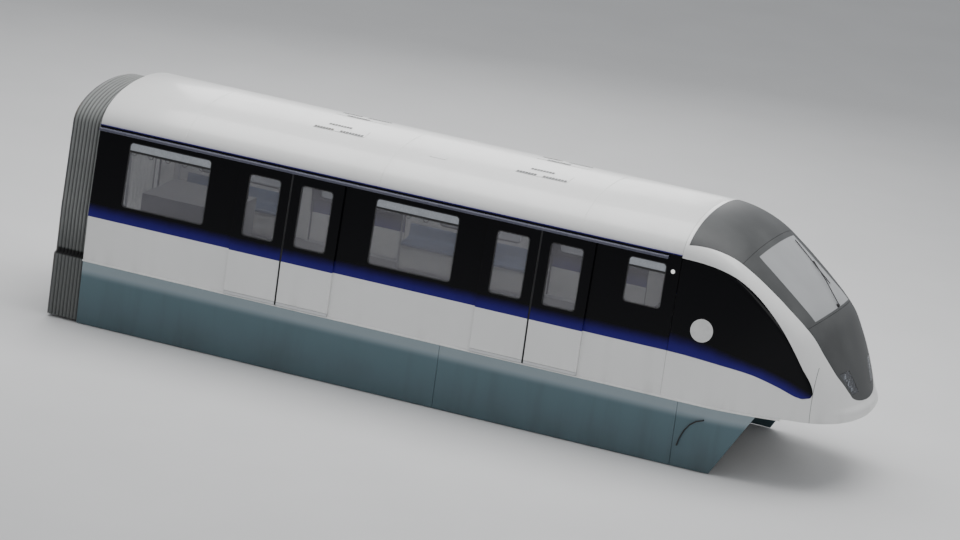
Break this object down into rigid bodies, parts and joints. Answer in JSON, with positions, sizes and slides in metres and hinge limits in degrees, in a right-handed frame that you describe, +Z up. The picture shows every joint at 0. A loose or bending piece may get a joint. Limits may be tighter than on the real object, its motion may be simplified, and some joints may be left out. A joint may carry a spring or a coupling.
{
  "type": "monorail car",
  "caption": "End car of a straddle-beam monorail: rounded body with a glazed band, raked nose, skirts, sliding doors, bellows and rubber-tyred bogies.",
  "frame": {"origin": "on the guide beam's running surface, on the centre line, midway between the two axles", "axes": "+X forward to the nose, +Y to the left side, +Z up"},
  "size_m": [12.7042, 3.15, 3.64],
  "materials": {
    "white_paint": "satin white paint",
    "black_glazing": "gloss black glazing band",
    "tinted_glass": "tinted glass",
    "teal_paint": "satin teal paint",
    "mask_paint": "dark grey semi-gloss paint",
    "lamp_lens": "clear lens",
    "bellows_rubber": "matt dark grey coated fabric",
    "tyre": "matt black rubber",
    "frame_steel": "grey painted steel",
    "floor_covering": "grey floor covering",
    "seat_shell": "moulded blue seat shell"
  },
  "bodies": {
    "car_body": {"window_rear_left": "tinted_glass", "window_middle_left": "tinted_glass", "window_cab_end_left": "tinted_glass", "side_panel_left": "white_paint", "window_band_left": "black_glazing", "window_rear_right": "tinted_glass", "window_middle_right": "tinted_glass", "window_cab_end_right": "tinted_glass", "side_panel_right": "white_paint", "window_band_right": "black_glazing", "roof": "white_paint", "cab_side_glass_left": "black_glazing", "cab_side_glass_right": "black_glazing", "cab_shell": "white_paint", "cab_roof_mask": "mask_paint", "windscreen": "tinted_glass", "headlamp_left": "lamp_lens", "headlamp_right": "lamp_lens", "nose_mask": "mask_paint", "floor": "floor_covering", "front_console": "mask_paint", "underframe": "frame_steel", "rear_end_wall": "white_paint", "gangway_bellows": "bellows_rubber", "skirt_left": "teal_paint", "skirt_front_left": "teal_paint", "skirt_right": "teal_paint", "skirt_front_right": "teal_paint", "bench_rear_left": "seat_shell", "bench_rear_right": "seat_shell", "bench_middle_left": "seat_shell", "bench_middle_right": "seat_shell"},
    "bogie_front": {"bogie_frame_front": "frame_steel"},
    "wheelset_front": {"axle_front": "frame_steel", "load_tyre_front_left": "tyre", "load_tyre_front_right": "tyre"},
    "guide_wheel_front_left_ahead_body": {"guide_wheel_front_left_ahead": "tyre"},
    "guide_wheel_front_left_behind_body": {"guide_wheel_front_left_behind": "tyre"},
    "stabiliser_wheel_front_left_body": {"stabiliser_wheel_front_left": "tyre"},
    "guide_wheel_front_right_ahead_body": {"guide_wheel_front_right_ahead": "tyre"},
    "guide_wheel_front_right_behind_body": {"guide_wheel_front_right_behind": "tyre"},
    "stabiliser_wheel_front_right_body": {"stabiliser_wheel_front_right": "tyre"},
    "bogie_rear": {"bogie_frame_rear": "frame_steel"},
    "wheelset_rear": {"axle_rear": "frame_steel", "load_tyre_rear_left": "tyre", "load_tyre_rear_right": "tyre"},
    "guide_wheel_rear_left_ahead_body": {"guide_wheel_rear_left_ahead": "tyre"},
    "guide_wheel_rear_left_behind_body": {"guide_wheel_rear_left_behind": "tyre"},
    "stabiliser_wheel_rear_left_body": {"stabiliser_wheel_rear_left": "tyre"},
    "guide_wheel_rear_right_ahead_body": {"guide_wheel_rear_right_ahead": "tyre"},
    "guide_wheel_rear_right_behind_body": {"guide_wheel_rear_right_behind": "tyre"},
    "stabiliser_wheel_rear_right_body": {"stabiliser_wheel_rear_right": "tyre"},
    "door_rear_left_a_body": {"door_rear_left_a": "white_paint"},
    "door_rear_left_b_body": {"door_rear_left_b": "white_paint"},
    "door_rear_right_a_body": {"door_rear_right_a": "white_paint"},
    "door_rear_right_b_body": {"door_rear_right_b": "white_paint"},
    "door_front_left_a_body": {"door_front_left_a": "white_paint"},
    "door_front_left_b_body": {"door_front_left_b": "white_paint"},
    "door_front_right_a_body": {"door_front_right_a": "white_paint"},
    "door_front_right_b_body": {"door_front_right_b": "white_paint"}
  },
  "joints": [
    {"name": "bogie_front_turn", "type": "hinge", "parent": "car_body", "child": "bogie_front", "pos_m": [4.15, 0, 0.16], "axis": [0, 0, 1], "range_deg": [-4, 4]},
    {"name": "wheelset_front_roll", "type": "hinge", "parent": "bogie_front", "child": "wheelset_front", "pos_m": [4.15, 0, 0.5], "axis": [0, 1, 0], "continuous": true},
    {"name": "guide_wheel_front_left_ahead_spin", "type": "hinge", "parent": "bogie_front", "child": "guide_wheel_front_left_ahead_body", "pos_m": [4.79, 0.595, -0.23], "axis": [0, 0, 1], "continuous": true},
    {"name": "guide_wheel_front_left_behind_spin", "type": "hinge", "parent": "bogie_front", "child": "guide_wheel_front_left_behind_body", "pos_m": [3.51, 0.595, -0.23], "axis": [0, 0, 1], "continuous": true},
    {"name": "stabiliser_wheel_front_left_spin", "type": "hinge", "parent": "bogie_front", "child": "stabiliser_wheel_front_left_body", "pos_m": [4.15, 0.595, -0.69], "axis": [0, 0, 1], "continuous": true},
    {"name": "guide_wheel_front_right_ahead_spin", "type": "hinge", "parent": "bogie_front", "child": "guide_wheel_front_right_ahead_body", "pos_m": [4.79, -0.595, -0.23], "axis": [0, 0, 1], "continuous": true},
    {"name": "guide_wheel_front_right_behind_spin", "type": "hinge", "parent": "bogie_front", "child": "guide_wheel_front_right_behind_body", "pos_m": [3.51, -0.595, -0.23], "axis": [0, 0, 1], "continuous": true},
    {"name": "stabiliser_wheel_front_right_spin", "type": "hinge", "parent": "bogie_front", "child": "stabiliser_wheel_front_right_body", "pos_m": [4.15, -0.595, -0.69], "axis": [0, 0, 1], "continuous": true},
    {"name": "bogie_rear_turn", "type": "hinge", "parent": "car_body", "child": "bogie_rear", "pos_m": [-4.15, 0, 0.16], "axis": [0, 0, 1], "range_deg": [-4, 4]},
    {"name": "wheelset_rear_roll", "type": "hinge", "parent": "bogie_rear", "child": "wheelset_rear", "pos_m": [-4.15, 0, 0.5], "axis": [0, 1, 0], "continuous": true},
    {"name": "guide_wheel_rear_left_ahead_spin", "type": "hinge", "parent": "bogie_rear", "child": "guide_wheel_rear_left_ahead_body", "pos_m": [-3.51, 0.595, -0.23], "axis": [0, 0, 1], "continuous": true},
    {"name": "guide_wheel_rear_left_behind_spin", "type": "hinge", "parent": "bogie_rear", "child": "guide_wheel_rear_left_behind_body", "pos_m": [-4.79, 0.595, -0.23], "axis": [0, 0, 1], "continuous": true},
    {"name": "stabiliser_wheel_rear_left_spin", "type": "hinge", "parent": "bogie_rear", "child": "stabiliser_wheel_rear_left_body", "pos_m": [-4.15, 0.595, -0.69], "axis": [0, 0, 1], "continuous": true},
    {"name": "guide_wheel_rear_right_ahead_spin", "type": "hinge", "parent": "bogie_rear", "child": "guide_wheel_rear_right_ahead_body", "pos_m": [-3.51, -0.595, -0.23], "axis": [0, 0, 1], "continuous": true},
    {"name": "guide_wheel_rear_right_behind_spin", "type": "hinge", "parent": "bogie_rear", "child": "guide_wheel_rear_right_behind_body", "pos_m": [-4.79, -0.595, -0.23], "axis": [0, 0, 1], "continuous": true},
    {"name": "stabiliser_wheel_rear_right_spin", "type": "hinge", "parent": "bogie_rear", "child": "stabiliser_wheel_rear_right_body", "pos_m": [-4.15, -0.595, -0.69], "axis": [0, 0, 1], "continuous": true},
    {"name": "door_rear_left_a_slide", "type": "slide", "parent": "car_body", "child": "door_rear_left_a_body", "axis": [-1, 0, 0], "range_m": [0, 0.8]},
    {"name": "door_rear_left_b_slide", "type": "slide", "parent": "car_body", "child": "door_rear_left_b_body", "axis": [1, 0, 0], "range_m": [0, 0.8]},
    {"name": "door_rear_right_a_slide", "type": "slide", "parent": "car_body", "child": "door_rear_right_a_body", "axis": [-1, 0, 0], "range_m": [0, 0.8]},
    {"name": "door_rear_right_b_slide", "type": "slide", "parent": "car_body", "child": "door_rear_right_b_body", "axis": [1, 0, 0], "range_m": [0, 0.8]},
    {"name": "door_front_left_a_slide", "type": "slide", "parent": "car_body", "child": "door_front_left_a_body", "axis": [-1, 0, 0], "range_m": [0, 0.8]},
    {"name": "door_front_left_b_slide", "type": "slide", "parent": "car_body", "child": "door_front_left_b_body", "axis": [1, 0, 0], "range_m": [0, 0.8]},
    {"name": "door_front_right_a_slide", "type": "slide", "parent": "car_body", "child": "door_front_right_a_body", "axis": [-1, 0, 0], "range_m": [0, 0.8]},
    {"name": "door_front_right_b_slide", "type": "slide", "parent": "car_body", "child": "door_front_right_b_body", "axis": [1, 0, 0], "range_m": [0, 0.8]}
  ],
  "couplings": [
    {"joint": "door_rear_left_a_slide", "follows": "door_rear_left_b_slide", "ratio": 1},
    {"joint": "door_rear_right_a_slide", "follows": "door_rear_right_b_slide", "ratio": 1},
    {"joint": "door_front_left_a_slide", "follows": "door_front_left_b_slide", "ratio": 1},
    {"joint": "door_front_right_a_slide", "follows": "door_front_right_b_slide", "ratio": 1}
  ]
}
